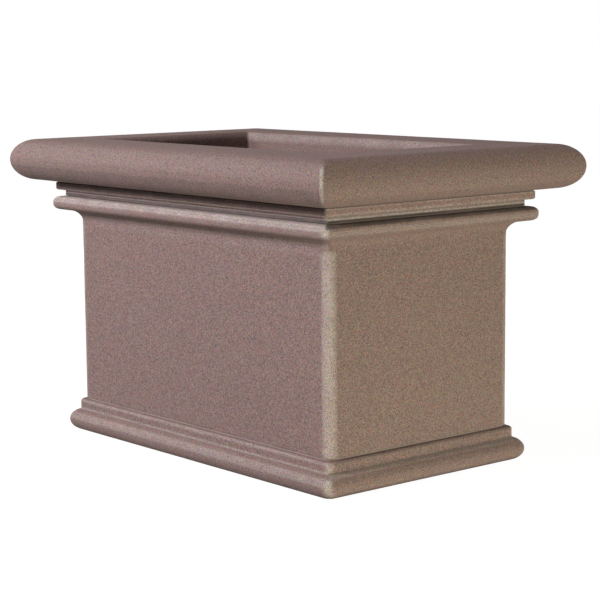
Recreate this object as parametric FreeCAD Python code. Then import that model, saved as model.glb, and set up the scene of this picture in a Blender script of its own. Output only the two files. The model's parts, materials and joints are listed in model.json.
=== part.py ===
"""Rectangular moulded concrete planter, built up from separately cast courses.

Frame: +Z up, X along the long side, origin at the middle of the footprint, on the ground.
From the ground up: bearing pads, plinth, tub with its bead, necking, bullnose rim.
Thin beds of mortar and flat steel dowels join the courses, and bars are cast into the rim.
Every outline is drawn in two values: how far it stands out from the face of the tub, and height.
All lengths are millimetres and all angles are degrees.
"""
import FreeCAD, Part
import math
import os

from FreeCAD import Vector

# Overall plan of the tub
tub_length = 726.0
tub_width = 422.0
wall_thickness = 46.0
tub_corner_radius = 19.0

# Bearing pads under the plinth
pad_proud = 2.0
pad_recess = 4.0
pad_length = 80.0
pad_width = 40.0
pad_fit = 0.3
pad_inset_x = 106.0
pad_inset_y = 26.0

# Plinth: a half-round torus with a plain band on top
torus_radius = 20.5
torus_reach = 22.9
band_reach = 6.9
band_height = 20.0
band_round = 5.5
band_cove = 2.5
plinth_corner_radius = 12.0
plinth_inner_margin = 24.0

# Mortar beds, raked back from the faces
bed_thickness = 2.0
bed_rake = 2.0

# Tub: plain walls, a cove and a bead
face_height = 344.0
cove_radius = 19.0
cove_turn = 67.0
soffit_slope = 7.0
bead_reach = 37.5
bead_round = 10.5
bead_flat = 3.8
bead_corner_radius = 10.0
floor_thickness = 45.0
floor_splay = 12.0
inner_draft = 1.0
inner_corner_radius = 12.0

# Necking: a hollow scotia under a plain fillet
neck_reach = 18.8
neck_lip = 3.3
neck_height = 10.5
fillet_reach = 31.8
fillet_height = 14.3
fillet_chamfer = 2.5
neck_corner_radius = 7.0

# Rim: a bullnose on a sloping soffit
rim_reach = 94.0
rim_radius = 38.5
rim_soffit_slope = 6.4
rim_inner_round = 12.5
rim_corner_radius = 7.0

# Drains through the floor
drain_count = 2
drain_pitch = 300.0
drain_bore_radius = 13.0
sleeve_wall = 3.0
sleeve_flange_radius = 25.0
sleeve_flange_thickness = 6.0
sleeve_drip = 12.0
sleeve_fit = 0.3
screen_radius = 19.0
screen_thickness = 3.0
screen_slot_width = 3.0
screen_slot_pitch = 6.0
screen_slot_lengths = (14.0, 19.0, 19.0, 14.0)

# Threaded lifting sockets in the floor, with hexagonal bodies
socket_across_flats = 18.0
socket_length = 34.0
socket_bore_radius = 6.0
socket_bore_depth = 28.0
socket_spread_x = 460.0
socket_spread_y = 220.0
socket_fit = 0.2

# Flat steel dowels between the courses, with their width along the wall
dowel_width = 25.0
dowel_thickness = 6.0
dowel_fit = 0.3
dowel_depth_in_wall = 24.0
rim_dowel_in_tub = 45.0
rim_dowel_in_rim = 40.0
plinth_dowel_in_plinth = 28.0
plinth_dowel_in_tub = 35.0
rim_dowel_long_shares = (-0.7, 0.0, 0.7)
rim_dowel_short_shares = (-0.5, 0.5)
plinth_dowel_long_shares = (-0.42, 0.42)
plinth_dowel_short_shares = (0.0,)

# Square bars cast into the rim, the short ones under the long ones
rim_bar_width = 8.0
rim_bar_cover = 40.0
rim_bar_end_cover = 30.0
rim_bar_gap = 1.5
bar_fit = 0.2

# How far a cutting solid runs past the face that it cuts
overrun = 5.0

# Points nearer than this count as being in the same place
same_place = 0.01

half_x = tub_length / 2
half_y = tub_width / 2

# Heights of the courses
plinth_bottom = pad_proud
plinth_top = plinth_bottom + 2 * torus_radius + band_height
tub_bottom = plinth_top + bed_thickness
floor_top = tub_bottom + floor_thickness


def on_circle(centre, radius, angle):
    """The point of a circle at an angle from the outward direction."""
    turn = math.radians(angle)
    return (centre[0] + radius * math.cos(turn), centre[1] + radius * math.sin(turn))


def straight(start, end):
    return [start, end]


def bow(centre, radius, from_angle, to_angle):
    """An arc as its start, middle and end points."""
    middle = (from_angle + to_angle) / 2
    return [on_circle(centre, radius, a) for a in (from_angle, middle, to_angle)]


def prism(outline, half_width, length, along_x):
    """Both sides of a moulding's section as one face, run along X or along Y."""
    edges = []

    def place(point, side):
        across = side * (half_width + point[0])
        return Vector(0, across, point[1]) if along_x else Vector(across, 0, point[1])

    for side in (1, -1):
        for piece in outline:
            points = [place(p, side) for p in piece]
            if len(points) == 2:
                edges.append(Part.makeLine(*points))
            else:
                edges.append(Part.Arc(*points).toShape())
    for end in (outline[0][0], outline[-1][-1]):
        edges.append(Part.makeLine(place(end, 1), place(end, -1)))
    face = Part.Face(Part.Wire(Part.__sortEdges__(edges)))
    run = Vector(length, 0, 0) if along_x else Vector(0, length, 0)
    face.translate(run * -0.5)
    return face.extrude(run)


def mitred(outline, reach):
    """A block whose four sides all have the outline, meeting in mitres at the corners."""
    length = tub_length + 2 * (reach + overrun)
    long_sides = prism(outline, half_y, length, True)
    short_sides = prism(outline, half_x, length, False)
    return long_sides.common(short_sides)


def on_mitre(edge):
    """True if an edge lies in the upright plane that halves a corner of the tub."""
    span = edge.LastParameter - edge.FirstParameter
    for share in (0, 0.5, 1):
        point = edge.valueAt(edge.FirstParameter + span * share)
        if abs((abs(point.x) - half_x) - (abs(point.y) - half_y)) > same_place:
            return False
    return True


def moulding(outline, reach, corner_radius):
    """A block with the outline on its four sides and its mitres rounded."""
    solid = mitred(outline, reach)
    return solid.makeFillet(corner_radius, [e for e in solid.Edges if on_mitre(e)])


def level_edges(solid, height):
    """The edges of a solid that lie flat at a height."""
    edges = []
    for edge in solid.Edges:
        box = edge.BoundBox
        if abs(box.ZMin - height) < same_place and abs(box.ZMax - height) < same_place:
            edges.append(edge)
    return edges


def block(x_half, y_half, low, high, radius=0.0):
    """An upright block about the origin, with rounded corners in plan."""
    solid = Part.makeBox(2 * x_half, 2 * y_half, high - low, Vector(-x_half, -y_half, low))
    if radius > 0:
        uprights = [e for e in solid.Edges if abs(e.tangentAt(e.FirstParameter).z) > 0.5]
        solid = solid.makeFillet(radius, uprights)
    return solid


def rod(radius, low, high, x, y):
    return Part.makeCylinder(radius, high - low, Vector(x, y, low))


def wall_places(long_shares, short_shares, depth):
    """Places in the four walls, and whether each is in a wall that runs along X."""
    places = []
    for share in long_shares:
        for side in (-1, 1):
            places.append((share * half_x, side * (half_y - depth), True))
    for share in short_shares:
        for side in (-1, 1):
            places.append((side * (half_x - depth), share * half_y, False))
    return places


def flat_dowels(low, high, places, fit=0.0):
    """Upright flat bars as one compound, grown by a fit to cut their slots."""
    bars = []
    for x, y, along_x in places:
        half_width = dowel_width / 2 + fit
        half_thickness = dowel_thickness / 2 + fit
        sizes = (half_width, half_thickness) if along_x else (half_thickness, half_width)
        bar = block(sizes[0], sizes[1], low, high)
        bar.translate(Vector(x, y, 0))
        bars.append(bar)
    return Part.makeCompound(bars)


def dowel_slots(low, high, places):
    return flat_dowels(low, high, places, dowel_fit)


# Outlines of the courses, from the bottom up
def plinth_outline():
    """A half-round, a small cove that touches it, and the upright face of the band."""
    centre = (torus_reach - torus_radius, plinth_bottom + torus_radius)
    cove_out = band_reach + band_cove
    cove_rise = math.sqrt((torus_radius + band_cove) ** 2 - (cove_out - centre[0]) ** 2)
    touch_angle = math.degrees(math.atan2(cove_rise, cove_out - centre[0]))
    torus = bow(centre, torus_radius, -90, touch_angle)
    cove = bow((cove_out, centre[1] + cove_rise), band_cove, touch_angle - 180, -180)
    return [torus, cove, straight(cove[-1], (band_reach, plinth_top))]


def wall_outline():
    """The plain face of the wall, the cove above it and the soffit under the bead."""
    cove_start = (0.0, tub_bottom + face_height)
    cove = bow((cove_radius, cove_start[1]), cove_radius, 180, 180 - cove_turn)
    soffit_end = bead_reach - bead_round + bead_round * math.sin(math.radians(soffit_slope))
    rise = (soffit_end - cove[-1][0]) * math.tan(math.radians(soffit_slope))
    return [
        straight((0.0, tub_bottom), cove_start),
        cove,
        straight(cove[-1], (soffit_end, cove[-1][1] + rise)),
    ]


def bead_outline():
    """Two rounds with a narrow flat between them, starting where the soffit ends."""
    foot = wall_outline()[-1][-1]
    centre = (bead_reach - bead_round, foot[1] + bead_round * math.cos(math.radians(soffit_slope)))
    lower = bow(centre, bead_round, soffit_slope - 90, 0)
    upper = bow((centre[0], centre[1] + bead_flat), bead_round, 0, 90)
    return [lower, straight(lower[-1], upper[0]), upper]


tub_top = bead_outline()[-1][-1][1]
neck_bottom = tub_top + bed_thickness
fillet_bottom = neck_bottom + neck_height
neck_top = fillet_bottom + fillet_height
rim_bottom = neck_top + bed_thickness


def scotia_outline():
    low = (neck_reach + neck_lip, neck_bottom)
    deep = (neck_reach, neck_bottom + neck_height / 2)
    high = (neck_reach + neck_lip, fillet_bottom)
    return [[low, deep, high]]


def rim_outline():
    """The soffit, sloping up and outwards, and the bullnose up to the flat top."""
    slope_angle = rim_soffit_slope - 90
    reach = rim_reach - rim_radius
    touch = on_circle((reach, 0.0), rim_radius, slope_angle)
    rise = (touch[0] - fillet_reach) * math.tan(math.radians(rim_soffit_slope))
    centre = (reach, rim_bottom + rise - touch[1])
    nose = bow(centre, rim_radius, slope_angle, 90)
    return [straight((fillet_reach, rim_bottom), nose[0]), nose]


rim_top = rim_outline()[-1][-1][1]


def flared_hollow():
    """The opening through the rim, with its top edge rounded outwards."""
    centre = (-wall_thickness + rim_inner_round, rim_top - rim_inner_round)
    top = bow(centre, rim_inner_round, 180, 90)
    outline = [
        straight((-wall_thickness, rim_bottom - overrun), top[0]),
        top,
        straight(top[-1], (top[-1][0], rim_top + overrun)),
    ]
    return mitred(outline, 0)


def tapered_hollow():
    """The inside of the tub: it narrows to the floor, which it meets in a splay."""
    lean = math.tan(math.radians(inner_draft))
    foot = (-wall_thickness - (tub_top - floor_top) * lean, floor_top)
    above = (-wall_thickness + overrun * lean, tub_top + overrun)
    walls = moulding([straight(foot, above)], 0, inner_corner_radius)
    splay_top = (foot[0] + floor_splay, floor_top + 2 * floor_splay)
    splay = mitred([
        straight((foot[0] - floor_splay, floor_top), splay_top),
        straight(splay_top, (splay_top[0], above[1])),
    ], 0)
    return walls.common(splay)


def drain_places():
    first = -(drain_count - 1) / 2
    return [((first + i) * drain_pitch, 0.0) for i in range(drain_count)]


def socket_places():
    x = socket_spread_x / 2
    y = socket_spread_y / 2
    return [(i * x, j * y) for i in (-1, 1) for j in (-1, 1)]


def pad_places():
    x = half_x - pad_inset_x
    y = half_y - pad_inset_y
    return [(i * x, j * y) for i in (-1, 1) for j in (-1, 1)]


rim_dowels_at = wall_places(rim_dowel_long_shares, rim_dowel_short_shares, dowel_depth_in_wall)
plinth_dowels_at = wall_places(plinth_dowel_long_shares, plinth_dowel_short_shares, dowel_depth_in_wall)


# Castings
def plinth_moulding():
    inner_x = half_x - wall_thickness - plinth_inner_margin
    inner_y = half_y - wall_thickness - plinth_inner_margin
    solid = moulding(plinth_outline(), torus_reach, plinth_corner_radius)
    solid = solid.makeFillet(band_round, level_edges(solid, plinth_top))
    low = plinth_bottom - overrun
    high = plinth_top + overrun
    cutters = [block(inner_x, inner_y, low, high, inner_corner_radius)]
    for x, y in pad_places():
        cutters.append(pad(x, y, pad_fit, low, plinth_bottom + pad_recess))
    cutters.append(dowel_slots(plinth_top - plinth_dowel_in_plinth, high, plinth_dowels_at))
    return solid.cut(cutters)


def tub_body():
    wall = moulding(wall_outline(), bead_reach, tub_corner_radius)
    bead = mitred(bead_outline(), bead_reach)
    nose = block(half_x + bead_reach, half_y + bead_reach, tub_bottom, tub_top, bead_corner_radius)
    solid = wall.fuse(bead.common(nose)).removeSplitter().cut(tapered_hollow())
    hole_radius = drain_bore_radius + sleeve_wall + sleeve_fit
    seat_radius = sleeve_flange_radius + sleeve_fit
    seat = floor_top - sleeve_flange_thickness
    cutters = []
    for x, y in drain_places():
        cutters.append(rod(hole_radius, tub_bottom - overrun, floor_top + overrun, x, y))
        cutters.append(rod(seat_radius, seat, floor_top + overrun, x, y))
    for x, y in socket_places():
        cutters.append(hexagon(floor_top - socket_length, floor_top + overrun, x, y, socket_fit))
    cutters.append(dowel_slots(tub_top - rim_dowel_in_tub, tub_top + overrun, rim_dowels_at))
    cutters.append(dowel_slots(tub_bottom - overrun, tub_bottom + plinth_dowel_in_tub, plinth_dowels_at))
    return solid.cut(cutters)


def necking_course():
    scotia = mitred(scotia_outline(), fillet_reach)
    fillet = block(half_x + fillet_reach, half_y + fillet_reach, fillet_bottom, neck_top, neck_corner_radius)
    fillet = fillet.makeChamfer(fillet_chamfer, level_edges(fillet, fillet_bottom))
    solid = scotia.fuse(fillet).removeSplitter()
    low = neck_bottom - overrun
    high = neck_top + overrun
    inside = block(half_x - wall_thickness, half_y - wall_thickness, low, high)
    return solid.cut([inside, dowel_slots(low, high, rim_dowels_at)])


def rim_coping():
    solid = moulding(rim_outline(), rim_reach, rim_corner_radius)
    slots = dowel_slots(rim_bottom - overrun, rim_bottom + rim_dowel_in_rim, rim_dowels_at)
    return solid.cut([flared_hollow(), slots, rim_long_bars(bar_fit), rim_short_bars(bar_fit)])


# Mortar beds
def bed(low, outer_reach, inner_reach, corner, slots_at):
    """A thin ring of mortar, raked back from both faces, with the dowels passing through."""
    high = low + bed_thickness
    outer = block(half_x + outer_reach - bed_rake, half_y + outer_reach - bed_rake, low, high, corner)
    inner_x = half_x - inner_reach + bed_rake
    inner_y = half_y - inner_reach + bed_rake
    inner = block(inner_x, inner_y, low - overrun, high + overrun)
    return outer.cut([inner, dowel_slots(low - overrun, high + overrun, slots_at)])


# Steel between and inside the castings
def rim_dowels():
    return flat_dowels(tub_top - rim_dowel_in_tub, rim_bottom + rim_dowel_in_rim, rim_dowels_at)


def plinth_dowels():
    low = plinth_top - plinth_dowel_in_plinth
    high = tub_bottom + plinth_dowel_in_tub
    return flat_dowels(low, high, plinth_dowels_at)


def bar_pair(along, across, height, along_x, grow):
    """Two straight square bars on opposite sides, grown all round to cut their channels."""
    bars = []
    half_bar = rim_bar_width / 2 + grow
    for side in (-1, 1):
        if along_x:
            bar = block(along + grow, half_bar, height - half_bar, height + half_bar)
            bar.translate(Vector(0, side * across, 0))
        else:
            bar = block(half_bar, along + grow, height - half_bar, height + half_bar)
            bar.translate(Vector(side * across, 0, 0))
        bars.append(bar)
    return Part.makeCompound(bars)


rim_bar_reach = rim_reach - rim_bar_cover - rim_bar_width / 2
rim_bar_end_reach = rim_reach - rim_bar_end_cover


def rim_long_bars(grow=0.0):
    height = rim_top - rim_radius
    return bar_pair(half_x + rim_bar_end_reach, half_y + rim_bar_reach, height, True, grow)


def rim_short_bars(grow=0.0):
    height = rim_top - rim_radius - rim_bar_width - rim_bar_gap
    return bar_pair(half_y + rim_bar_end_reach, half_x + rim_bar_reach, height, False, grow)


# Drainage, lifting and bearing fittings
def drain_sleeve(x, y):
    low = tub_bottom - sleeve_drip
    seat = floor_top - sleeve_flange_thickness
    solid = rod(drain_bore_radius + sleeve_wall, low, seat, x, y)
    solid = solid.fuse(rod(sleeve_flange_radius, seat, floor_top, x, y))
    solid = solid.cut(rod(drain_bore_radius, low - overrun, floor_top + overrun, x, y))
    recess = rod(screen_radius + sleeve_fit, floor_top - screen_thickness, floor_top + overrun, x, y)
    return solid.cut(recess).removeSplitter()


def drain_screen(x, y):
    """A disc with a row of parallel slots."""
    low = floor_top - screen_thickness
    disc = rod(screen_radius, low, floor_top, x, y)
    slots = []
    for i, length in enumerate(screen_slot_lengths):
        slot = block(length / 2, screen_slot_width / 2, low - overrun, floor_top + overrun)
        row = i - (len(screen_slot_lengths) - 1) / 2
        slot.translate(Vector(x, y + row * screen_slot_pitch, 0))
        slots.append(slot)
    return disc.cut(slots)


def hexagon(low, high, x, y, fit=0.0):
    """An upright hexagonal bar, measured across its flats."""
    corner = (socket_across_flats / 2 + fit) / math.cos(math.pi / 6)
    turns = [math.pi * i / 3 for i in range(7)]
    points = [Vector(x + corner * math.cos(t), y + corner * math.sin(t), low) for t in turns]
    return Part.Face(Part.makePolygon(points)).extrude(Vector(0, 0, high - low))


def lifting_socket(x, y):
    solid = hexagon(floor_top - socket_length, floor_top, x, y)
    return solid.cut(rod(socket_bore_radius, floor_top - socket_bore_depth, floor_top + overrun, x, y))


def pad(x, y, grow, low, high):
    solid = block(pad_length / 2 + grow, pad_width / 2 + grow, low, high)
    solid.translate(Vector(x, y, 0))
    return solid


def bearing_pads():
    top = plinth_bottom + pad_recess
    return Part.makeCompound([pad(x, y, 0.0, 0.0, top) for x, y in pad_places()])


def group(maker, places):
    return Part.makeCompound([maker(x, y) for x, y in places])


def build():
    """Every piece of the planter by the name of its node."""
    plinth_inner = wall_thickness + plinth_inner_margin
    return {
        "bearing_pads": bearing_pads(),
        "plinth_moulding": plinth_moulding(),
        "plinth_bed": bed(plinth_top, 0.0, plinth_inner, tub_corner_radius, plinth_dowels_at),
        "plinth_dowels": plinth_dowels(),
        "tub_body": tub_body(),
        "necking_bed": bed(tub_top, neck_reach, wall_thickness, neck_corner_radius, rim_dowels_at),
        "necking_course": necking_course(),
        "rim_bed": bed(neck_top, fillet_reach, wall_thickness, neck_corner_radius, rim_dowels_at),
        "rim_coping": rim_coping(),
        "rim_dowels": rim_dowels(),
        "rim_long_bars": rim_long_bars(),
        "rim_short_bars": rim_short_bars(),
        "drain_sleeves": group(drain_sleeve, drain_places()),
        "drain_screens": group(drain_screen, drain_places()),
        "lifting_sockets": group(lifting_socket, socket_places()),
    }


os.makedirs("parts", exist_ok=True)
for name, shape in build().items():
    shape.exportStep(os.path.join("parts", name + ".step"))
    box = shape.BoundBox
    size = (round(box.XLength, 1), round(box.YLength, 1), round(box.ZMin, 1), round(box.ZMax, 1))
    print(name, "solids", len(shape.Solids), "valid", shape.isValid(), "size and heights", size)
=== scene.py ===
# %% [markdown]
# # A cast concrete planter
#
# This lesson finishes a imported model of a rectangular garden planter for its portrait.
# The planter is built of separately cast courses on thin beds of mortar.
# The four castings get finer meshes here, with the slight unevenness of real concrete.
# The mortar, the pads, the drains, the lifting sockets and the hidden steel keep their own
# meshes and get materials.

import json
import math

import bmesh
import bpy
from mathutils import Matrix, Vector, noise


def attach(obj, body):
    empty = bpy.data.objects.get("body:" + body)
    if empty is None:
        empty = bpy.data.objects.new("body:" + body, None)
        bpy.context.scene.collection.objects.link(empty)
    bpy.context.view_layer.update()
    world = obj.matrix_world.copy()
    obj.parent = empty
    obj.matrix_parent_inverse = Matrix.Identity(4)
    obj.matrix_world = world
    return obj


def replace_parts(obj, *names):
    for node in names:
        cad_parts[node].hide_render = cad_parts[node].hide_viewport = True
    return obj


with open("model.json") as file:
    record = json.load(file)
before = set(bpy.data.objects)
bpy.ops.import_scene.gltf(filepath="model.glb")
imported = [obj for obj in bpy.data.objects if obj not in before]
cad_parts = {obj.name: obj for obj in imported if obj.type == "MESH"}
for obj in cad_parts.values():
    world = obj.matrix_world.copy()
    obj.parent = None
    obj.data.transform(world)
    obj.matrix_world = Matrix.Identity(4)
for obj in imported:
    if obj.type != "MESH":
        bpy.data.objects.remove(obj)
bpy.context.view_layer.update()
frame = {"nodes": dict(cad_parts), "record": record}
nodes = frame["nodes"]
print("Packed nodes:", ", ".join(sorted(nodes)))

# %% [markdown]
# ## Outlines in millimetres
#
# A moulding is drawn as the section that a maker would cut in a template.
# Each point says how far it stands out from the face of the tub, and how high it is.
# Arcs and straight runs are divided finely, because the unevenness comes from moving points.

# %% Arcs and runs
MM = 0.001
HALF_X = 363.0
HALF_Y = 211.0


def arc(centre, radius, start, end, steps):
    """Points on an arc after its first one. Angles are degrees up from straight out."""
    turns = [math.radians(start + (end - start) * i / steps) for i in range(1, steps + 1)]
    return [(centre[0] + radius * math.cos(t), centre[1] + radius * math.sin(t)) for t in turns]


def run(start, end, steps):
    """Points on a straight run after its first one."""
    shares = [i / steps for i in range(1, steps + 1)]
    return [tuple(a + (b - a) * share for a, b in zip(start, end)) for share in shares]


quarter = arc((0, 0), 10, 0, 90, 3)
print("A quarter of a 10 mm round:", [tuple(round(v, 1) for v in point) for point in quarter])

# %% [markdown]
# ## The first ring
#
# Seen from above, every course is a rectangle with rounded corners.
# A grid of one face gives the rectangle, a bevel of its four vertices rounds it,
# and subdividing the long edges gives the sides enough points to be uneven later.
# An edge is a side when it is longer than four corner radii.

# %% One rounded rectangle
CORNER_STEPS = 10
LONG_CUTS = 149
SHORT_CUTS = 89
SIDE_IN_RADII = 4


def first_ring(bm, out, height, corner):
    """Edges of a rectangle with rounded corners, at one height."""
    bmesh.ops.create_grid(bm, x_segments=1, y_segments=1, size=1.0)
    bmesh.ops.scale(bm, vec=((HALF_X + out) * MM, (HALF_Y + out) * MM, 1.0), verts=bm.verts)
    bmesh.ops.translate(bm, vec=(0, 0, height * MM), verts=bm.verts)
    bmesh.ops.bevel(
        bm, geom=bm.verts[:], offset=corner * MM, offset_type="OFFSET", affect="VERTICES",
        segments=CORNER_STEPS, profile=0.5, material=-1,
    )
    bmesh.ops.delete(bm, geom=bm.faces[:], context="FACES_ONLY")
    sides = [e for e in bm.edges if e.calc_length() > SIDE_IN_RADII * corner * MM]
    for axis, cuts in ((0, LONG_CUTS), (1, SHORT_CUTS)):
        along = [e for e in sides
                 if abs(e.verts[0].co[axis] - e.verts[1].co[axis]) > corner * MM]
        bmesh.ops.subdivide_edges(bm, edges=along, cuts=cuts)
    return bm.edges[:]


trial = bmesh.new()
trial_edges = first_ring(trial, out=0.0, height=0.0, corner=19.0)
print("Points in one ring:", len({v for e in trial_edges for v in e.verts}))
trial.free()

# %% [markdown]
# ## From ring to moulding
#
# The ring is extruded once for every point of the outline, and each new ring is fitted
# to its place: the straight parts stretch, and the corners take their own radius.
# The last ring is bridged to the first one, so a course is one closed skin.

# %% Extrude along an outline
def fitted(value, half, old, new):
    """A coordinate moved from one ring to the next. A ring is (out, height, corner)."""
    old_core = (half + old[0] - old[2]) * MM
    new_core = (half + new[0] - new[2]) * MM
    core = min(abs(value), old_core)
    moved = core * new_core / old_core + (abs(value) - core) * new[2] / old[2]
    return math.copysign(moved, value)


def next_ring(bm, edges, old, new):
    """Extrudes the ring and fits the new one to its place."""
    made = bmesh.ops.extrude_edge_only(bm, edges=edges)["geom"]
    verts = {v for v in made if isinstance(v, bmesh.types.BMVert)}
    for v in verts:
        v.co = (fitted(v.co.x, HALF_X, old, new), fitted(v.co.y, HALF_Y, old, new), new[1] * MM)
    return [e for v in verts for e in v.link_edges if e.other_vert(v) in verts and e.verts[0] == v]


def course(name, outline, corner_at, bridged=True):
    """A casting from its outline. corner_at gives the plan radius at a point of it."""
    rings = [(out, height, corner_at(out, height)) for out, height in outline]
    bm = bmesh.new()
    first = first_ring(bm, *rings[0])
    edges = first
    for old, new in zip(rings, rings[1:]):
        edges = next_ring(bm, edges, old, new)
    if bridged:
        bmesh.ops.bridge_loops(bm, edges=first + edges)
    else:
        bmesh.ops.contextual_create(bm, geom=first)
        bmesh.ops.contextual_create(bm, geom=edges)
    bmesh.ops.recalc_face_normals(bm, faces=bm.faces)
    mesh = bpy.data.meshes.new(name)
    bm.to_mesh(mesh)
    bm.free()
    piece = bpy.data.objects.new(name, mesh)
    bpy.context.scene.collection.objects.link(piece)
    print(name, "has", len(mesh.vertices), "points and", len(mesh.polygons), "faces")
    return piece


print("Courses can be made")

# %% [markdown]
# ## How sharply a surface bends
#
# Painted highlights and chips look for edges, and painted shade looks for hollows. Along every
# mesh edge the change of the normal tells which is which: outward bends are positive and hollows
# are negative.

# %% Bends
SHORTEST_SQUARED = 1e-12


def bends(mesh):
    """The mean outward bend at each point, in 1/m. Hollows are negative."""
    total = [0.0] * len(mesh.vertices)
    count = [0] * len(mesh.vertices)
    places = [v.co.copy() for v in mesh.vertices]
    normals = [v.normal.copy() for v in mesh.vertices]
    for edge in mesh.edges:
        a, b = edge.vertices
        step = places[b] - places[a]
        bend = (normals[b] - normals[a]).dot(step) / max(step.length_squared, SHORTEST_SQUARED)
        for i in (a, b):
            total[i] += bend
            count[i] += 1
    return [t / max(c, 1) for t, c in zip(total, count)]


print("Bends can be measured")

# %% [markdown]
# ## Cast surfaces are never flat
#
# A mould bows a little, the sandblasting bites unevenly, and sharp edges lose small chips.
# Every point sinks by part of a millimetre along its normal, and edges sink a little more.
# Points only ever sink, so the casting never grows past its true size.

# %% Weathering
BROAD_WAVES, FINE_WAVES, CHIP_GRAIN = 9, 40, 95
BROAD_SHARE, FINE_SHARE, MIDDLE = 0.35, 0.15, 0.5
CHIP_FROM = 0.3
SHARP_FROM, SHARP_RANGE = 12, 60
CHIP_COUNTED = 0.05


def weathered(piece, swell, chip):
    """Sinks the points: swell is the widest wave in mm, and chip the deepest chip in mm."""
    mesh = piece.data
    chips = 0
    moves = []
    for vertex, bend in zip(mesh.vertices, bends(mesh)):
        p = vertex.co
        broad, fine = noise.noise(p * BROAD_WAVES), noise.noise(p * FINE_WAVES)
        wave = BROAD_SHARE * broad + FINE_SHARE * fine + MIDDLE
        sharp = min(1.0, max(0.0, bend - SHARP_FROM) / SHARP_RANGE)
        bite = max(0.0, noise.noise(p * CHIP_GRAIN) - CHIP_FROM) * sharp
        chips += bite > CHIP_COUNTED
        moves.append(vertex.normal * (swell * wave + chip * bite) * MM)
    for vertex, move in zip(mesh.vertices, moves):
        vertex.co -= move
    print(piece.name, "weathered, chipped points:", chips)
    return piece


print("Weathering is ready")

# %% [markdown]
# ## Bands of painted light and shade
#
# The mouldings have pale and dark bands: the pale ones are painted highlights and painted light
# that lifts shadows, as in the scotia and on the bead, and the dark ones are painted shade, on
# ledges and under the rim. A band has its heights in mm, its strength on the long and on the short
# sides, and how far its surface looks up: a rise of 1 looks straight up and -1 straight down.
# Every band fades out softly at its edges.

# %% Bands
ANY_RISE = (-1.2, 1.2)
SOFT_MM = 0.8
SOFT_RISE = 0.1


def ramp(value, low, high):
    """0 below low, 1 above high, and a smooth rise between."""
    share = min(1.0, max(0.0, (value - low) / (high - low)))
    return share * share * (3 - 2 * share)


def within(value, low, high, soft):
    """1 between low and high, and 0 outside, with soft ends."""
    return ramp(value, low - soft, low + soft) * ramp(-value, -high - soft, -high + soft)


def band(heights, long=0.0, short=0.0, rises=ANY_RISE):
    """A band, from its heights, its strength on the long and short sides, and its rises."""
    return long, short, *heights, *rises


def strongest(bands, long_side, height, rise):
    """The strongest band at a point. long_side is 1 on a long side and 0 on a short one."""
    best = 0.0
    for on_long, on_short, low, high, least, most in bands:
        amount = on_short + (on_long - on_short) * long_side
        inside = within(height, low, high, SOFT_MM)
        facing = within(rise, least, most, SOFT_RISE)
        best = max(best, amount * inside * facing)
    return best


trial_band = band((10, 20), long=0.8)
trial_strength = strongest([trial_band], long_side=1.0, height=10.0, rise=0.0)
print("Strength at the edge of a band:", trial_strength)

# %% [markdown]
# ## Pale corners
#
# The upright corners are painted paler than the faces, a painted highlight along each corner.
# Corners and bands give each point two numbers from 0 to 1, one for painted highlights and fill
# light and one for painted shade, which the material reads as attributes. Hollows get some painted
# shade everywhere. Only the inner bands lie inside the planter.

# %% Marking a casting
OUTSIDE_FROM, OUTSIDE_AT = -30, -20
SIDE_CHANGE = 4
PATCHES, SPOTS = 30, 90
PATCH_SHARE, SPOT_SHARE, USUAL = 0.3, 0.15, 0.92
# Painted highlights on the upright corners: how pale, and how narrow.
CORNER_HIGHLIGHTS = (0.6, 0.5)
HIGHLIGHT_BENDS = (6, 22)
FLATTEST = 0.001
UPRIGHT_RANGE = (0.1, 0.5)
# Painted shade in hollows.
HOLLOW_BENDS = (40, 110)
HOLLOW_SHADE = 0.45
SMOOTH_BELOW = 38


def marked(piece, pale_bands=(), shade_bands=(), inner_bands=(), corners=CORNER_HIGHLIGHTS,
           corner_bands=()):
    """Stores the painted highlights and fill light and the painted shade on the points of a
    casting, as two attributes, and shades it smooth. corners is how pale the painted highlight on
    the upright corners is and how narrow, and corner_bands adds to it."""
    mesh = piece.data
    painted_light, painted_shade = [], []
    for vertex, bend in zip(mesh.vertices, bends(mesh)):
        n = vertex.normal
        p = vertex.co
        height = p.z / MM
        out_x, out_y = abs(p.x) / MM - HALF_X, abs(p.y) / MM - HALF_Y
        outside = ramp(max(out_x, out_y), OUTSIDE_FROM, OUTSIDE_AT)
        long_side = ramp(out_y - out_x, -SIDE_CHANGE, SIDE_CHANGE)
        patch, spot = noise.noise(p * PATCHES), noise.noise(p * SPOTS)
        uneven = USUAL + PATCH_SHARE * patch + SPOT_SHARE * spot
        across = max(n.x * n.x + n.y * n.y, FLATTEST)
        # A painted highlight along the upright corners.
        corner_light = corners[0] + strongest(corner_bands, long_side, height, n.z)
        upright = corner_light * (2 * abs(n.x * n.y) / across) ** corners[1]
        upright *= ramp(bend, *HIGHLIGHT_BENDS) * ramp(across, *UPRIGHT_RANGE)
        pale = max(upright, outside * strongest(pale_bands, long_side, height, n.z),
                   (1 - outside) * strongest(inner_bands, long_side, height, n.z))
        painted_light.append(min(1.0, pale * uneven))
        # Painted shade in hollows and in the dark bands.
        shade_amount = max(HOLLOW_SHADE * ramp(-bend, *HOLLOW_BENDS) * (1 - pale),
                    outside * strongest(shade_bands, long_side, height, n.z))
        painted_shade.append(min(1.0, shade_amount * uneven))
    for name, values in (("painted_light", painted_light), ("painted_shade", painted_shade)):
        layer = mesh.attributes.new(name, "FLOAT", "POINT")
        layer.data.foreach_set("value", values)
    for polygon in mesh.polygons:
        polygon.use_smooth = True
    mesh.set_sharp_from_angle(angle=math.radians(SMOOTH_BELOW))
    print(piece.name, "mean painted_light_share", round(sum(painted_light) / len(painted_light), 3))
    return piece


print("Marks are ready")
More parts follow.
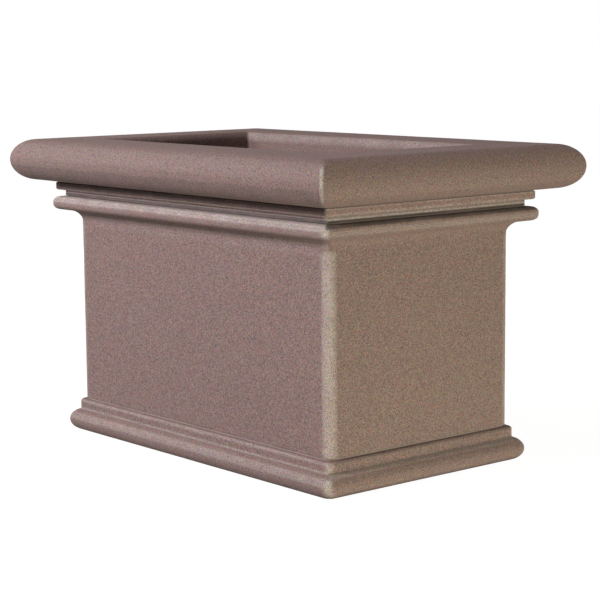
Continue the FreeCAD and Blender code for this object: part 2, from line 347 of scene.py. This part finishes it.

# %% [markdown]
# ## The rim
#
# The rim is the widest course: a full bullnose with a soffit that falls away under it,
# a flat top, and a small round into the planting hollow.
# Its outline is closed, and its mitres have a radius of 7 mm outside and 4 mm inside.
# On the long fronts the rim is painted a little darker all over, and much darker underneath, which
# is painted shade under the bullnose. Its upper bullnose and its inner lip get painted highlights,
# and its mitres get a strong, narrow one.

# %% The rim
OUTER_MITRE, INNER_MITRE = 7.0, 4.0
rim_outline = [(31.8, 482.1)]
rim_outline += run((31.8, 482.1), (59.79, 485.24), 8)
rim_outline += arc((55.5, 523.5), 38.5, -83.6, 90, 44)
rim_outline += run((55.5, 562.0), (-33.5, 562.0), 16)
rim_outline += arc((-33.5, 549.5), 12.5, 90, 180, 8)
rim_outline += run((-46.0, 549.5), (-46.0, 482.1), 9)
rim_outline += run((-46.0, 482.1), (31.8, 482.1), 12)[:-1]


def rim_corner(out, height):
    return OUTER_MITRE if out > 0 else INNER_MITRE


# Painted highlights on the bullnose and the inner lip, painted shade under the rim, and the long
# fronts painted a little darker.
BULLNOSE = band((500, 556), long=0.1, rises=(0.1, 0.85))
LIP = band((545, 561), long=0.35, short=0.1, rises=(-0.2, 0.9))
SOFFIT = band((480, 500), long=0.32, short=0.15, rises=(-1.2, -0.6))
UNDERSIDE = band((480, 515), long=0.3, rises=(-1.2, -0.2))
LONG_FRONT_DARKENING = band((480, 563), long=0.05)
rim = weathered(course("Rim", rim_outline, rim_corner), swell=0.3, chip=0.8)
# The rim's mitres get a strong, narrow painted highlight.
marked(rim, [BULLNOSE], [SOFFIT, UNDERSIDE, LONG_FRONT_DARKENING], inner_bands=[LIP], corners=(0.95, 2.0))
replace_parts(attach(rim, "root"), "rim_coping")

# %% [markdown]
# ## The necking
#
# Under the rim lies a low course with a hollow scotia below a plain fillet.
# It stands in the shadow of the rim, its edges are crisp, and its mitres are the rim's.
# Pale paint in the upper half of the scotia and along the fillet's edges is painted light that
# lifts the rim's shadow there, and the lower half of the scotia and the fillet are painted dark as
# shade, most of all on the long sides.

# %% The necking
neck_outline = [(19.3, 455.4)]
neck_outline += arc((46.36, 460.65), 27.56, 190.9, 169.1, 10)
neck_outline += run(neck_outline[-1], (28.3, 465.9), 3)
neck_outline += arc((28.3, 469.4), 3.5, -90, 0, 6)
neck_outline += run((31.8, 469.4), (31.8, 479.1), 4)
neck_outline += arc((30.8, 479.1), 1.0, 0, 90, 3)
neck_outline += run((30.8, 480.1), (-46.0, 480.1), 10)
neck_outline += run((-46.0, 480.1), (-46.0, 455.4), 5)
neck_outline += run((-46.0, 455.4), (19.3, 455.4), 9)[:-1]
# Pale bands: painted light in the rim's shadow. The fillet and the lower scotia: painted shade.
SCOTIA = band((455, 461), long=0.3)
HIGH_SCOTIA = band((460.5, 466.5), long=0.9, short=0.25)
SCOTIA_HEART = band((459.3, 461.8), short=0.9)
FILLET_EDGES = [
    band((466.5, 468), long=0.3), band((466, 471.5), short=0.3), band((477.5, 481), short=0.35),
]
FILLET = band((469, 481), long=0.6)
SHADED_SCOTIA = [band((454, 460.5), long=0.7), band((454, 458.3), short=0.85)]
necking = weathered(course("Necking", neck_outline, rim_corner), swell=0.15, chip=0.5)
marked(necking, [SCOTIA, HIGH_SCOTIA, SCOTIA_HEART, *FILLET_EDGES], [FILLET, *SHADED_SCOTIA],
       corners=(0.1, 1.0))
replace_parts(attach(necking, "root"), "necking_course")

# %% [markdown]
# ## The tub
#
# The tub is the large casting: a floor, four walls, and a bead over a deep cove.
# Its outline is open. It starts at the floor, climbs the inside, crosses the top
# and comes down the outside, and one wide face closes it at each end.
# Its corner radius changes on the way: 12 inside, 10 on the bead and 19 on the walls.

# %% The tub
WALL_RADIUS, BEAD_RADIUS, INSIDE_RADIUS, FLOOR_RADIUS = 19.0, 10.0, 12.0, 2.0
COVE_FROM, COVE_TO = 409.0, 427.0
INSIDE_OUT = -45
SPLAY_FOOT = 112
tub_outline = [(-64.0, 110.0)]
tub_outline += run((-64.0, 110.0), (-51.8, 122.0), 3)
tub_outline += run((-51.8, 122.0), (-46.1, 450.4), 34)
tub_outline += arc((-43.0, 450.4), 3.0, 180, 90, 3)
tub_outline += run((-43.0, 453.4), (27.0, 453.4), 10)
tub_outline += arc((27.0, 442.9), 10.5, 90, 0, 12)
tub_outline += run((37.5, 442.9), (37.5, 439.1), 1)
tub_outline += arc((27.0, 439.1), 10.5, 0, -83, 10)
tub_outline += run(tub_outline[-1], (11.58, 426.5), 4)
tub_outline += arc((19.0, 409.0), 19.0, 113, 180, 10)
tub_outline += run((0.0, 409.0), (0.0, 66.0), 48)
tub_outline += arc((-1.0, 66.0), 1.0, 0, -90, 3)
tub_outline += run((-1.0, 65.0), (-64.0, 65.0), 8)


def tub_corner(out, height):
    if out < INSIDE_OUT:
        return INSIDE_RADIUS if height > SPLAY_FOOT else FLOOR_RADIUS
    if height > COVE_TO:
        return BEAD_RADIUS
    climbed = min(1.0, max(0.0, height - COVE_FROM) / (COVE_TO - COVE_FROM))
    return WALL_RADIUS - (WALL_RADIUS - BEAD_RADIUS) * climbed


tub = weathered(course("Tub", tub_outline, tub_corner, bridged=False), swell=0.3, chip=0.8)

# %% [markdown]
# Two drains and four hexagonal lifting sockets sit in the floor of the tub.
# Cones with equal ends make the cutters, and Boolean modifiers take them out of the floor.
# The seat of a drain is wider than the hole below it, so they are cut one after the other.

# %% Holes in the floor
DRAINS = [(-150, 0), (150, 0)]
SOCKETS = [(x, y) for x in (-230, 230) for y in (-110, 110)]
ROUND, HEXAGON = 64, 6


def cutter(name, places, radius, low, high, sides):
    """Upright prisms or round cutters at several places, as one object."""
    bm = bmesh.new()
    for x, y in places:
        middle = Matrix.Translation(Vector((x, y, (low + high) / 2)) * MM)
        bmesh.ops.create_cone(
            bm, cap_ends=True, segments=sides, radius1=radius * MM, radius2=radius * MM,
            depth=(high - low) * MM, matrix=middle,
        )
    mesh = bpy.data.meshes.new(name)
    bm.to_mesh(mesh)
    bm.free()
    made = bpy.data.objects.new(name, mesh)
    bpy.context.scene.collection.objects.link(made)
    return made


def cut(piece, tool):
    """Takes the tool out of the piece and removes the tool."""
    modifier = piece.modifiers.new(tool.name, "BOOLEAN")
    modifier.operation = "DIFFERENCE"
    modifier.solver = "EXACT"
    modifier.object = tool
    bpy.context.view_layer.objects.active = piece
    bpy.ops.object.modifier_apply(modifier=modifier.name)
    bpy.data.objects.remove(tool)


cut(tub, cutter("DrainSeats", DRAINS, radius=25.3, low=104, high=140, sides=ROUND))
cut(tub, cutter("DrainHoles", DRAINS, radius=16.3, low=40, high=108, sides=ROUND))
cut(tub, cutter("SocketHoles", SOCKETS, radius=10.6, low=76, high=140, sides=HEXAGON))
print("Tub faces after cutting:", len(tub.data.polygons))

# %% [markdown]
# On the long sides the bead is painted white on top, a painted highlight, and dark below, painted
# shade. On the short sides its top is painted dark as shade on the ledge, and its nose is a little
# pale, a painted highlight that is strongest at the corners. The foot of the cove and the head of
# the wall are painted paler, which lifts the shade under the bead.
# The two wide faces of the tub stay flat: the holes would bend smooth shading there.

# %% Marks on the tub
# Painted highlights on the bead and its corners and painted light under it; painted shade on the
# short sides' ledge and under the bead.
BEAD = band((427, 455), long=0.7, rises=(0.05, 0.6))
BEAD_TOP = band((427, 455), long=1.0, rises=(0.6, 1.2))
BEAD_NOSE = band((434.5, 444), short=0.25, rises=(-0.4, 0.3))
BEAD_CORNERS = band((430, 450), long=0.35, short=0.35, rises=(-0.3, 0.9))
BEAD_UNDER = band((427, 434.5), long=0.32, short=0.12, rises=(-1.2, -0.4))
LEDGE = band((440, 455), short=0.72, rises=(0.5, 1.2))
COVE_FOOT = band((405, 424), long=0.32, rises=(-0.8, -0.25))
WALL_HEAD = band((400, 415), long=0.12, rises=(-0.3, 0.2))
WIDE_FACE_POINTS = 20
marked(tub, [BEAD, BEAD_TOP, BEAD_NOSE, COVE_FOOT, WALL_HEAD], [LEDGE, BEAD_UNDER],
       corner_bands=[BEAD_CORNERS])
for polygon in tub.data.polygons:
    if len(polygon.vertices) > WIDE_FACE_POINTS:
        polygon.use_smooth = False
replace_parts(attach(tub, "root"), "tub_body")

# %% [markdown]
# ## The plinth
#
# A half-round torus stands on the ground under a small cove and a plain band.
# The outline is closed, and the mitres have a radius of 12 mm all the way up.
# On the long sides the cove and the tops of the torus and the band are painted pale, as painted
# highlights. On the short sides the torus and the ledge of the band are painted slightly darker,
# as painted shade, and the corners get painted highlights.

# %% The plinth
PLINTH_MITRE = 12.0
plinth_outline = [(-10.0, 2.0)]
plinth_outline += run((-10.0, 2.0), (2.4, 2.0), 3)
plinth_outline += arc((2.4, 22.5), 20.5, -90, 71.7, 36)
plinth_outline += arc((9.4, 44.42), 2.5, 251.7, 180, 5)
plinth_outline += run((6.9, 44.4), (6.9, 57.5), 4)
plinth_outline += arc((1.4, 57.5), 5.5, 0, 90, 8)
plinth_outline += run((1.4, 63.0), (-70.0, 63.0), 10)
plinth_outline += run((-70.0, 63.0), (-70.0, 2.0), 8)
plinth_outline += run((-70.0, 2.0), (-10.0, 2.0), 8)[:-1]


def plinth_corner(out, height):
    return PLINTH_MITRE


# Painted highlights on the band top, the small cove and the torus; painted shade on the short
# sides.
BAND_TOP = band((57, 64), long=0.4, rises=(0.0, 0.65))
SMALL_COVE = band((42.5, 47), long=0.6)
SHORT_COVE = band((37.5, 43), short=0.35)
TORUS = band((14, 37), long=0.35, rises=(0.1, 0.85))
BAND_LEDGE = band((57, 64), short=0.25, rises=(0.1, 1.2))
TORUS_TOP = band((24, 36), short=0.18, rises=(0.15, 0.65))
TORUS_SIDE = band((16, 26), short=0.09, rises=(-0.4, 0.4))
plinth = weathered(course("Plinth", plinth_outline, plinth_corner), swell=0.3, chip=0.8)
marked(plinth, [BAND_TOP, SMALL_COVE, SHORT_COVE, TORUS], [BAND_LEDGE, TORUS_TOP, TORUS_SIDE],
       corners=(0.65, 0.6))
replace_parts(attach(plinth, "root"), "plinth_moulding")

# %% [markdown]
# ## Short words for shader nodes
#
# Materials are built by script, so a few helpers keep each of them readable.
# A value may be a plain number or the output of another node.
# A Mix node for colours has its factor and its two colours at inputs 0, 6 and 7.

# %% Node helpers
MIX_SHARE, MIX_A, MIX_B, MIX_RESULT = 0, 6, 7, 2


def join(tree, value, socket):
    """Sets a socket to a number or colour, or links another node's output to it."""
    if isinstance(value, bpy.types.NodeSocket):
        tree.links.new(value, socket)
    else:
        socket.default_value = value


def node(tree, kind, inputs=(), **settings):
    """A new node with settings and inputs. Inputs are pairs of a name or number and a value."""
    made = tree.nodes.new(kind)
    for name, value in settings.items():
        setattr(made, name, value)
    for name, value in inputs:
        join(tree, value, made.inputs[name])
    return made


def calc(tree, operation, a, b=0.0):
    """The output of a Math node."""
    return node(tree, "ShaderNodeMath", ((0, a), (1, b)), operation=operation).outputs[0]


def spread(tree, value, low, high, to_low, to_high):
    """Maps low..high to to_low..to_high, and holds the ends."""
    pairs = (("Value", value), ("From Min", low), ("From Max", high), ("To Min", to_low),
             ("To Max", to_high))
    return node(tree, "ShaderNodeMapRange", pairs).outputs["Result"]


def blend(tree, share, a, b, kind="MIX"):
    """Mixes two colours."""
    pairs = ((MIX_SHARE, share), (MIX_A, a), (MIX_B, b))
    made = node(tree, "ShaderNodeMix", pairs, data_type="RGBA", blend_type=kind)
    return made.outputs[MIX_RESULT]


def new_group(name, inputs, outputs):
    """An empty node group with typed sockets, and its input and output nodes."""
    tree = bpy.data.node_groups.new(name, "ShaderNodeTree")
    for label, kind in inputs:
        tree.interface.new_socket(label, in_out="INPUT", socket_type=kind)
    for label, kind in outputs:
        tree.interface.new_socket(label, in_out="OUTPUT", socket_type=kind)
    return tree, tree.nodes.new("NodeGroupInput"), tree.nodes.new("NodeGroupOutput")


print("Node helpers are ready")

# %% [markdown]
# ## Grain, the effect that every finish shares
#
# Sand, mould grain and mill scale all show as small cells of slightly different colour.
# One node group makes them: Voronoi cells for the grains and fine noise between them.
# It gives a colour to multiply with and a height for bump, and takes its size from outside.
# The noise is even on its own grid planes, so its scale is set a little off the cells'
# scale, and no flat face of the planter lies on such a plane.

# %% Grain
FINE_TO_CELLS = 1.406
FINE_DETAIL = 1.0
HALF = 0.5
HALF_GREY = (HALF, HALF, HALF)
grain, into, out_of = new_group(
    "Grain",
    [("Vector", "NodeSocketVector"), ("Scale", "NodeSocketFloat"), ("Colour", "NodeSocketFloat"),
     ("Tone", "NodeSocketFloat")],
    [("Tint", "NodeSocketColor"), ("Height", "NodeSocketFloat")],
)
at = into.outputs["Vector"]
cells = node(grain, "ShaderNodeTexVoronoi", (("Vector", at), ("Scale", into.outputs["Scale"])))
fine_scale = calc(grain, "MULTIPLY", into.outputs["Scale"], FINE_TO_CELLS)
fine = node(grain, "ShaderNodeTexNoise",
            (("Vector", at), ("Scale", fine_scale), ("Detail", FINE_DETAIL)))
hue = node(grain, "ShaderNodeVectorMath", ((0, cells.outputs["Color"]), (1, HALF_GREY)),
           operation="SUBTRACT")
hue = node(grain, "ShaderNodeVectorMath", ((0, hue.outputs[0]), ("Scale", into.outputs["Colour"])),
           operation="SCALE")
tone = calc(grain, "SUBTRACT", fine.outputs["Fac"], HALF)
tone = calc(grain, "ADD", calc(grain, "MULTIPLY", tone, into.outputs["Tone"]), 1.0)
tint = node(grain, "ShaderNodeVectorMath", ((0, hue.outputs[0]), (1, tone)), operation="ADD")
grain_height = calc(grain, "ADD", fine.outputs["Fac"], cells.outputs["Distance"])
grain.links.new(tint.outputs[0], out_of.inputs["Tint"])
grain.links.new(grain_height, out_of.inputs["Height"])
print("Grain group has", len(grain.nodes), "nodes")

# %% [markdown]
# ## Mottling, the slow change over a casting
#
# No casting dries evenly. Broad, faint clouds of lighter and darker tone show it.

# %% Mottling
CLOUD_DETAIL = 4.0
mottling, into, out_of = new_group(
    "Mottling",
    [("Vector", "NodeSocketVector"), ("Scale", "NodeSocketFloat"), ("Depth", "NodeSocketFloat")],
    [("Tone", "NodeSocketFloat")],
)
pairs = (("Vector", into.outputs["Vector"]), ("Scale", into.outputs["Scale"]),
         ("Detail", CLOUD_DETAIL))
clouds = node(mottling, "ShaderNodeTexNoise", pairs)
depth = calc(mottling, "SUBTRACT", clouds.outputs["Fac"], HALF)
depth = calc(mottling, "MULTIPLY", depth, into.outputs["Depth"])
mottling.links.new(calc(mottling, "ADD", depth, 1.0), out_of.inputs["Tone"])
print("Mottling group has", len(mottling.nodes), "nodes")

# %% [markdown]
# ## One recipe for every finish
#
# Each finish has a Principled BSDF, the grain and the mottling, with its own numbers.
# Metallic and specular level are set on the shader itself, and roughness follows the grain between
# two values.
# Grain is (cells in a metre, difference of colour, difference of tone), mottling is
# (clouds in a metre, depth), and bump is (strength, distance in metres).

# %% A finish
GRAIN_HEIGHTS = (0.3, 1.2)


def finish(name, colour, roughness, grain_values, mottle_values, bump, metallic=0.0, specular=0.5):
    """A material with grain and mottling. Returns it with the nodes that others build on."""
    material = bpy.data.materials.new(name)
    material.use_nodes = True
    tree = material.node_tree
    tree.nodes.clear()
    shader = node(tree, "ShaderNodeBsdfPrincipled")
    end = node(tree, "ShaderNodeOutputMaterial")
    tree.links.new(shader.outputs["BSDF"], end.inputs["Surface"])
    place = node(tree, "ShaderNodeTexCoord").outputs["Object"]
    speckle = node(tree, "ShaderNodeGroup", node_tree=grain)
    for label, value in zip(("Vector", "Scale", "Colour", "Tone"), (place, *grain_values)):
        join(tree, value, speckle.inputs[label])
    clouds = node(tree, "ShaderNodeGroup", node_tree=mottling)
    for label, value in zip(("Vector", "Scale", "Depth"), (place, *mottle_values)):
        join(tree, value, clouds.inputs[label])
    tinted = blend(tree, 1.0, (*colour, 1.0), speckle.outputs["Tint"], "MULTIPLY")
    tinted = blend(tree, 1.0, tinted, clouds.outputs["Tone"], "MULTIPLY")
    tree.links.new(tinted, shader.inputs["Base Color"])
    rough = spread(tree, speckle.outputs["Height"], *GRAIN_HEIGHTS, *roughness)
    tree.links.new(rough, shader.inputs["Roughness"])
    strength, distance = bump
    pairs = (("Strength", strength), ("Distance", distance), ("Height", speckle.outputs["Height"]))
    raised = node(tree, "ShaderNodeBump", pairs)
    tree.links.new(raised.outputs["Normal"], shader.inputs["Normal"])
    shader.inputs["Metallic"].default_value = metallic
    shader.inputs["Specular IOR Level"].default_value = specular
    return {"material": material, "tree": tree, "shader": shader, "colour": tinted,
            "place": place, "height": speckle.outputs["Height"], "bump": raised}


def dressed(piece, material):
    """Gives a piece one material in place of what it had."""
    piece.data.materials.clear()
    piece.data.materials.append(material)


print("A finish can be made")

# %% [markdown]
# ## Sandblasted concrete
#
# The colour is a warm pinkish grey with reddish and greenish grains of sand, 2 mm across.
# Where painted highlights and fill light are marked the colour turns paler and less pink, and
# where painted shade is marked it turns dark and nearly grey.

# %% Concrete
# PALE is the colour of painted highlights and fill light, and the dark grey is the colour of
# painted shade.
BODY = (0.31, 0.213, 0.195)
PALE = (0.62, 0.53, 0.5)
SHADE_COLOUR = (0.07, 0.064, 0.06)
concrete = finish(
    "Sandblasted_concrete", BODY, roughness=(0.72, 0.86), grain_values=(430.0, 0.32, 2.15),
    mottle_values=(11.0, 0.05), bump=(0.15, 0.0006), specular=0.25,
)
tree = concrete["tree"]
# The two attributes: painted highlights and fill light, and painted shade.
painted_light = node(tree, "ShaderNodeAttribute", attribute_name="painted_light").outputs["Fac"]
painted_shade = node(tree, "ShaderNodeAttribute", attribute_name="painted_shade").outputs["Fac"]
paler = tuple(p / b for p, b in zip(PALE, BODY))
gain = blend(tree, painted_light, (1.0, 1.0, 1.0, 1.0), (*paler, 1.0))
coloured = blend(tree, 1.0, concrete["colour"], gain, "MULTIPLY")
coloured = blend(tree, painted_shade, coloured, (*SHADE_COLOUR, 1.0))
print("Highlighted concrete is brighter by", [round(value, 2) for value in paler])

# %% [markdown]
# A few tiny air holes are left from casting. They are sparse, dark and sunk by bump.
# Voronoi cells place them, and the colour of a cell decides by chance whether it has one.

# %% Air holes
HOLES_IN_A_METRE = 95.0
HOLE_EDGE = (0.05, 0.11)
HOLE_CHANCE = (0.82, 0.86)
HOLE_COLOUR = (0.09, 0.065, 0.055, 1.0)
HOLE_DARKNESS, HOLE_DEPTH = 0.45, 1.5
pits = node(tree, "ShaderNodeTexVoronoi",
            (("Vector", concrete["place"]), ("Scale", HOLES_IN_A_METRE)))
pit = spread(tree, pits.outputs["Distance"], *HOLE_EDGE, 1.0, 0.0)
chance = node(tree, "ShaderNodeSeparateColor", (("Color", pits.outputs["Color"]),)).outputs[0]
pit = calc(tree, "MULTIPLY", pit, spread(tree, chance, *HOLE_CHANCE, 0.0, 1.0))
coloured = blend(tree, calc(tree, "MULTIPLY", pit, HOLE_DARKNESS), coloured, HOLE_COLOUR)
tree.links.new(coloured, concrete["shader"].inputs["Base Color"])
sunk = calc(tree, "SUBTRACT", concrete["height"], calc(tree, "MULTIPLY", pit, HOLE_DEPTH))
tree.links.new(sunk, concrete["bump"].inputs["Height"])
for piece in (rim, necking, tub, plinth):
    dressed(piece, concrete["material"])
print("Concrete has", len(tree.nodes), "nodes")

# %% [markdown]
# ## The finishes of the smaller parts
#
# Mortar is close to the concrete but coarser. The drains are moulded plastic with a fine
# grain, the pads are rubber, the sockets are zinc plated, the dowels are stainless
# and the bars in the rim are hot rolled steel with brown scale.

# %% Mortar, plastic, rubber and steel
finishes = {
    "mortar": finish(
        "Raked_mortar", (0.26, 0.185, 0.165), roughness=(0.85, 0.95),
        grain_values=(650.0, 0.2, 0.6), mottle_values=(30.0, 0.2), bump=(0.6, 0.0006),
        specular=0.3),
    "drain_plastic": finish(
        "Moulded_plastic", (0.045, 0.045, 0.047), roughness=(0.38, 0.55),
        grain_values=(900.0, 0.05, 0.3), mottle_values=(25.0, 0.3), bump=(0.2, 0.0002)),
    "pad_rubber": finish(
        "Pad_rubber", (0.03, 0.03, 0.031), roughness=(0.7, 0.85),
        grain_values=(700.0, 0.05, 0.4), mottle_values=(20.0, 0.3), bump=(0.3, 0.0003),
        specular=0.3),
    "zinc_steel": finish(
        "Zinc_plated_steel", (0.6, 0.6, 0.57), roughness=(0.3, 0.5),
        grain_values=(260.0, 0.08, 0.25), mottle_values=(60.0, 0.25), bump=(0.1, 0.0002),
        metallic=1.0),
    "stainless": finish(
        "Stainless_bar", (0.62, 0.62, 0.62), roughness=(0.25, 0.4),
        grain_values=(500.0, 0.02, 0.15), mottle_values=(40.0, 0.1), bump=(0.1, 0.0002),
        metallic=1.0),
    "bar_steel": finish(
        "Hot_rolled_steel", (0.12, 0.085, 0.07), roughness=(0.55, 0.8),
        grain_values=(300.0, 0.2, 0.5), mottle_values=(35.0, 0.5), bump=(0.3, 0.0004),
        metallic=0.6),
}
slots = {row["node"]: row["material_slot"] for row in frame["record"]["subparts"]}
for name, packed in nodes.items():
    made = finishes.get(slots.get(name))
    if made:
        dressed(packed, made["material"])
        print(name, "gets", made["material"].name)

# %% [markdown]
# The lowest bed of mortar is painted pale, which is painted light in its shaded crevice, and the
# two high ones are painted dark, as dark joints and as painted shade under the rim. Both show more
# on the long sides than on the short ones, so the material looks at its place: the height chooses
# the colour, and the side chooses how much of it there is.

# %% Stains on the mortar
DARK_HIGH_MORTAR = (0.19, 0.17, 0.155, 1.0)
SHORT_SIDE_SHARE, LONG_SIDE_SHARE = 0.45, 0.8
LONG_SIDE_Y = (0.2, 0.206)
LOW_TO_HIGH = (0.2, 0.4)
mortar = finishes["mortar"]
tree = mortar["tree"]
axes = node(tree, "ShaderNodeSeparateXYZ", ((0, mortar["place"]),)).outputs
# Pale low bed: painted light. Dark high beds: dark joints and painted shade.
side_share = spread(tree, calc(tree, "ABSOLUTE", axes["Y"]), *LONG_SIDE_Y, SHORT_SIDE_SHARE, LONG_SIDE_SHARE)
by_height = blend(tree, spread(tree, axes["Z"], *LOW_TO_HIGH, 0.0, 1.0), (*PALE, 1.0), DARK_HIGH_MORTAR)
side_coloured = blend(tree, side_share, mortar["colour"], by_height)
tree.links.new(side_coloured, mortar["shader"].inputs["Base Color"])
print("Mortar has", len(tree.nodes), "nodes")

# %% [markdown]
# ## A pale floor
#
# The photograph's background is plain white and shows no shadow.
# The floor is matte and takes the planter's shadow. For rays from the camera, and for mirror
# images, it also glows almost white by itself, and a little less round the planter, which is a
# faint painted shade round it, so it looks white with a faint shadow. It sends the planter only
# what a matte grey does.

# %% Floor
FLOOR_HALF = 14.0
FLOOR_COLOUR = (0.2, 0.19, 0.18, 1.0)
WHITE = (1.0, 1.0, 1.0, 1.0)
# The weaker glow near the planter paints a faint shade round it.
GLOW_DISTANCES = (0.7, 2.0)
GLOW_STRENGTHS = (0.97, 1.0)


def seen_directly(tree):
    """1 for camera, glossy and transmission rays, and 0 for the light that bounces."""
    rays = node(tree, "ShaderNodeLightPath").outputs
    first = calc(tree, "MAXIMUM", rays["Is Camera Ray"], rays["Is Glossy Ray"])
    return calc(tree, "MAXIMUM", first, rays["Is Transmission Ray"])


bm = bmesh.new()
bmesh.ops.create_grid(bm, x_segments=1, y_segments=1, size=FLOOR_HALF)
floor_mesh = bpy.data.meshes.new("Floor")
bm.to_mesh(floor_mesh)
bm.free()
floor = bpy.data.objects.new("Floor", floor_mesh)
bpy.context.scene.collection.objects.link(floor)
paper = bpy.data.materials.new("Pale_paper")
paper.use_nodes = True
tree = paper.node_tree
tree.nodes.clear()
matte = node(tree, "ShaderNodeBsdfDiffuse", (("Color", FLOOR_COLOUR),)).outputs[0]
place = node(tree, "ShaderNodeTexCoord").outputs["Object"]
length = node(tree, "ShaderNodeVectorMath", ((0, place),), operation="LENGTH").outputs["Value"]
strength = spread(tree, length, *GLOW_DISTANCES, *GLOW_STRENGTHS)
glow = node(tree, "ShaderNodeEmission", (("Color", WHITE), ("Strength", strength))).outputs[0]
both = node(tree, "ShaderNodeAddShader", ((0, matte), (1, glow))).outputs[0]
chosen = node(tree, "ShaderNodeMixShader", ((0, seen_directly(tree)), (1, matte), (2, both)))
node(tree, "ShaderNodeOutputMaterial", (("Surface", chosen.outputs[0]),))
floor.data.materials.append(paper)
print("The floor is", 2 * FLOOR_HALF, "m wide")

# %% [markdown]
# ## A pale room
#
# The world does the same for the wall behind: it is white where the camera or a mirror
# sees it, and only a weak warm light everywhere else.

# %% World
ROOM_COLOUR = (1.0, 0.97, 0.95, 1.0)
ROOM_STRENGTH = 0.025
world = bpy.data.worlds.new("Studio")
bpy.context.scene.world = world
world.use_nodes = True
tree = world.node_tree
tree.nodes.clear()
soft = node(tree, "ShaderNodeBackground", (("Color", ROOM_COLOUR), ("Strength", ROOM_STRENGTH)))
white = node(tree, "ShaderNodeBackground", (("Color", WHITE), ("Strength", 1.0)))
chosen = node(tree, "ShaderNodeMixShader",
              ((0, seen_directly(tree)), (1, soft.outputs[0]), (2, white.outputs[0])))
node(tree, "ShaderNodeOutputWorld", (("Surface", chosen.outputs[0]),))
print("The room is lit at", ROOM_STRENGTH)

# %% [markdown]
# ## Soft lamps
#
# Square area lamps stand round the planter, all equally far away, and look at its middle.
# Each is given by its compass direction, its height angle, its size and its power.
# The key comes from the left and a second lamp from further round, both 25 degrees up.
# A low warm lamp lights the right side, a low one lights the back, and a faint one hangs
# above. Light from the ground brightens the undersides on the right, so a warm lamp also
# lies on the floor there and looks up.

# %% Lamps
LAMP_DISTANCE = 3.6
MIDDLE_HEIGHT = 0.3
CARD_PLACE = (1.037, 0.0, 0.003)
FACE_UP = (math.pi, 0, 0)


def lamp(name, direction, rise, size, power, colour):
    """A square lamp that looks at the middle of the planter. Angles are in degrees."""
    data = bpy.data.lights.new(name, "AREA")
    data.shape = "SQUARE"
    data.size = size
    data.energy = power
    data.color = colour
    turn, up = math.radians(direction), math.radians(rise)
    away = Vector((math.cos(turn) * math.cos(up), math.sin(turn) * math.cos(up), math.sin(up)))
    made = bpy.data.objects.new(name, data)
    bpy.context.scene.collection.objects.link(made)
    made.location = Vector((0, 0, MIDDLE_HEIGHT)) + away * LAMP_DISTANCE
    made.rotation_euler = away.to_track_quat("Z", "Y").to_euler()
    return made


lamp("Key", direction=-96, rise=25, size=0.7, power=76, colour=(1.0, 0.97, 1.0))
lamp("Left_back", direction=-140, rise=25, size=0.7, power=29, colour=(0.97, 1.0, 0.98))
lamp("Warm_fill", direction=-4, rise=2, size=0.45, power=45.5, colour=(1.0, 1.0, 0.8))
lamp("Back", direction=140, rise=-1, size=0.45, power=60, colour=(1.0, 0.96, 0.9))
lamp("Top", direction=-100, rise=76, size=0.8, power=7, colour=(1.0, 0.9, 0.85))
card = lamp("Floor_card", direction=0, rise=0, size=1.3, power=3.6, colour=(1.0, 0.97, 0.72))
card.location = CARD_PLACE
card.rotation_euler = FACE_UP
card.visible_camera = False
print("Lamps are lit")

# %% [markdown]
# ## The camera
#
# The camera stands where the photographer stood. Its place, its long lens and its
# slight roll come from fitting a pinhole camera to the edges of the planter in the photograph.

# %% Camera
DIRECTION, TILT, ROLL = math.radians(50.145), math.radians(8.181), math.radians(-0.487)
CAMERA_PLACE = (2.55207, -2.09753, 0.74538)
LENS, SENSOR = 108.966, 36.0
right = Vector((math.cos(DIRECTION), math.sin(DIRECTION), 0))
look = Vector((-math.sin(DIRECTION) * math.cos(TILT), math.cos(DIRECTION) * math.cos(TILT),
               -math.sin(TILT)))
up = right.cross(look)
side = right * math.cos(ROLL) + up * math.sin(ROLL)
top = up * math.cos(ROLL) - right * math.sin(ROLL)
camera_data = bpy.data.cameras.new("Camera")
camera_data.sensor_width = SENSOR
camera_data.lens = LENS
camera = bpy.data.objects.new("Camera", camera_data)
bpy.context.scene.collection.objects.link(camera)
turned = Matrix((side, top, -look)).transposed().to_4x4()
camera.matrix_world = Matrix.Translation(CAMERA_PLACE) @ turned
bpy.context.scene.camera = camera
bpy.context.scene.view_settings.view_transform = "Standard"
print("Camera at", tuple(round(v, 3) for v in camera.matrix_world.translation))
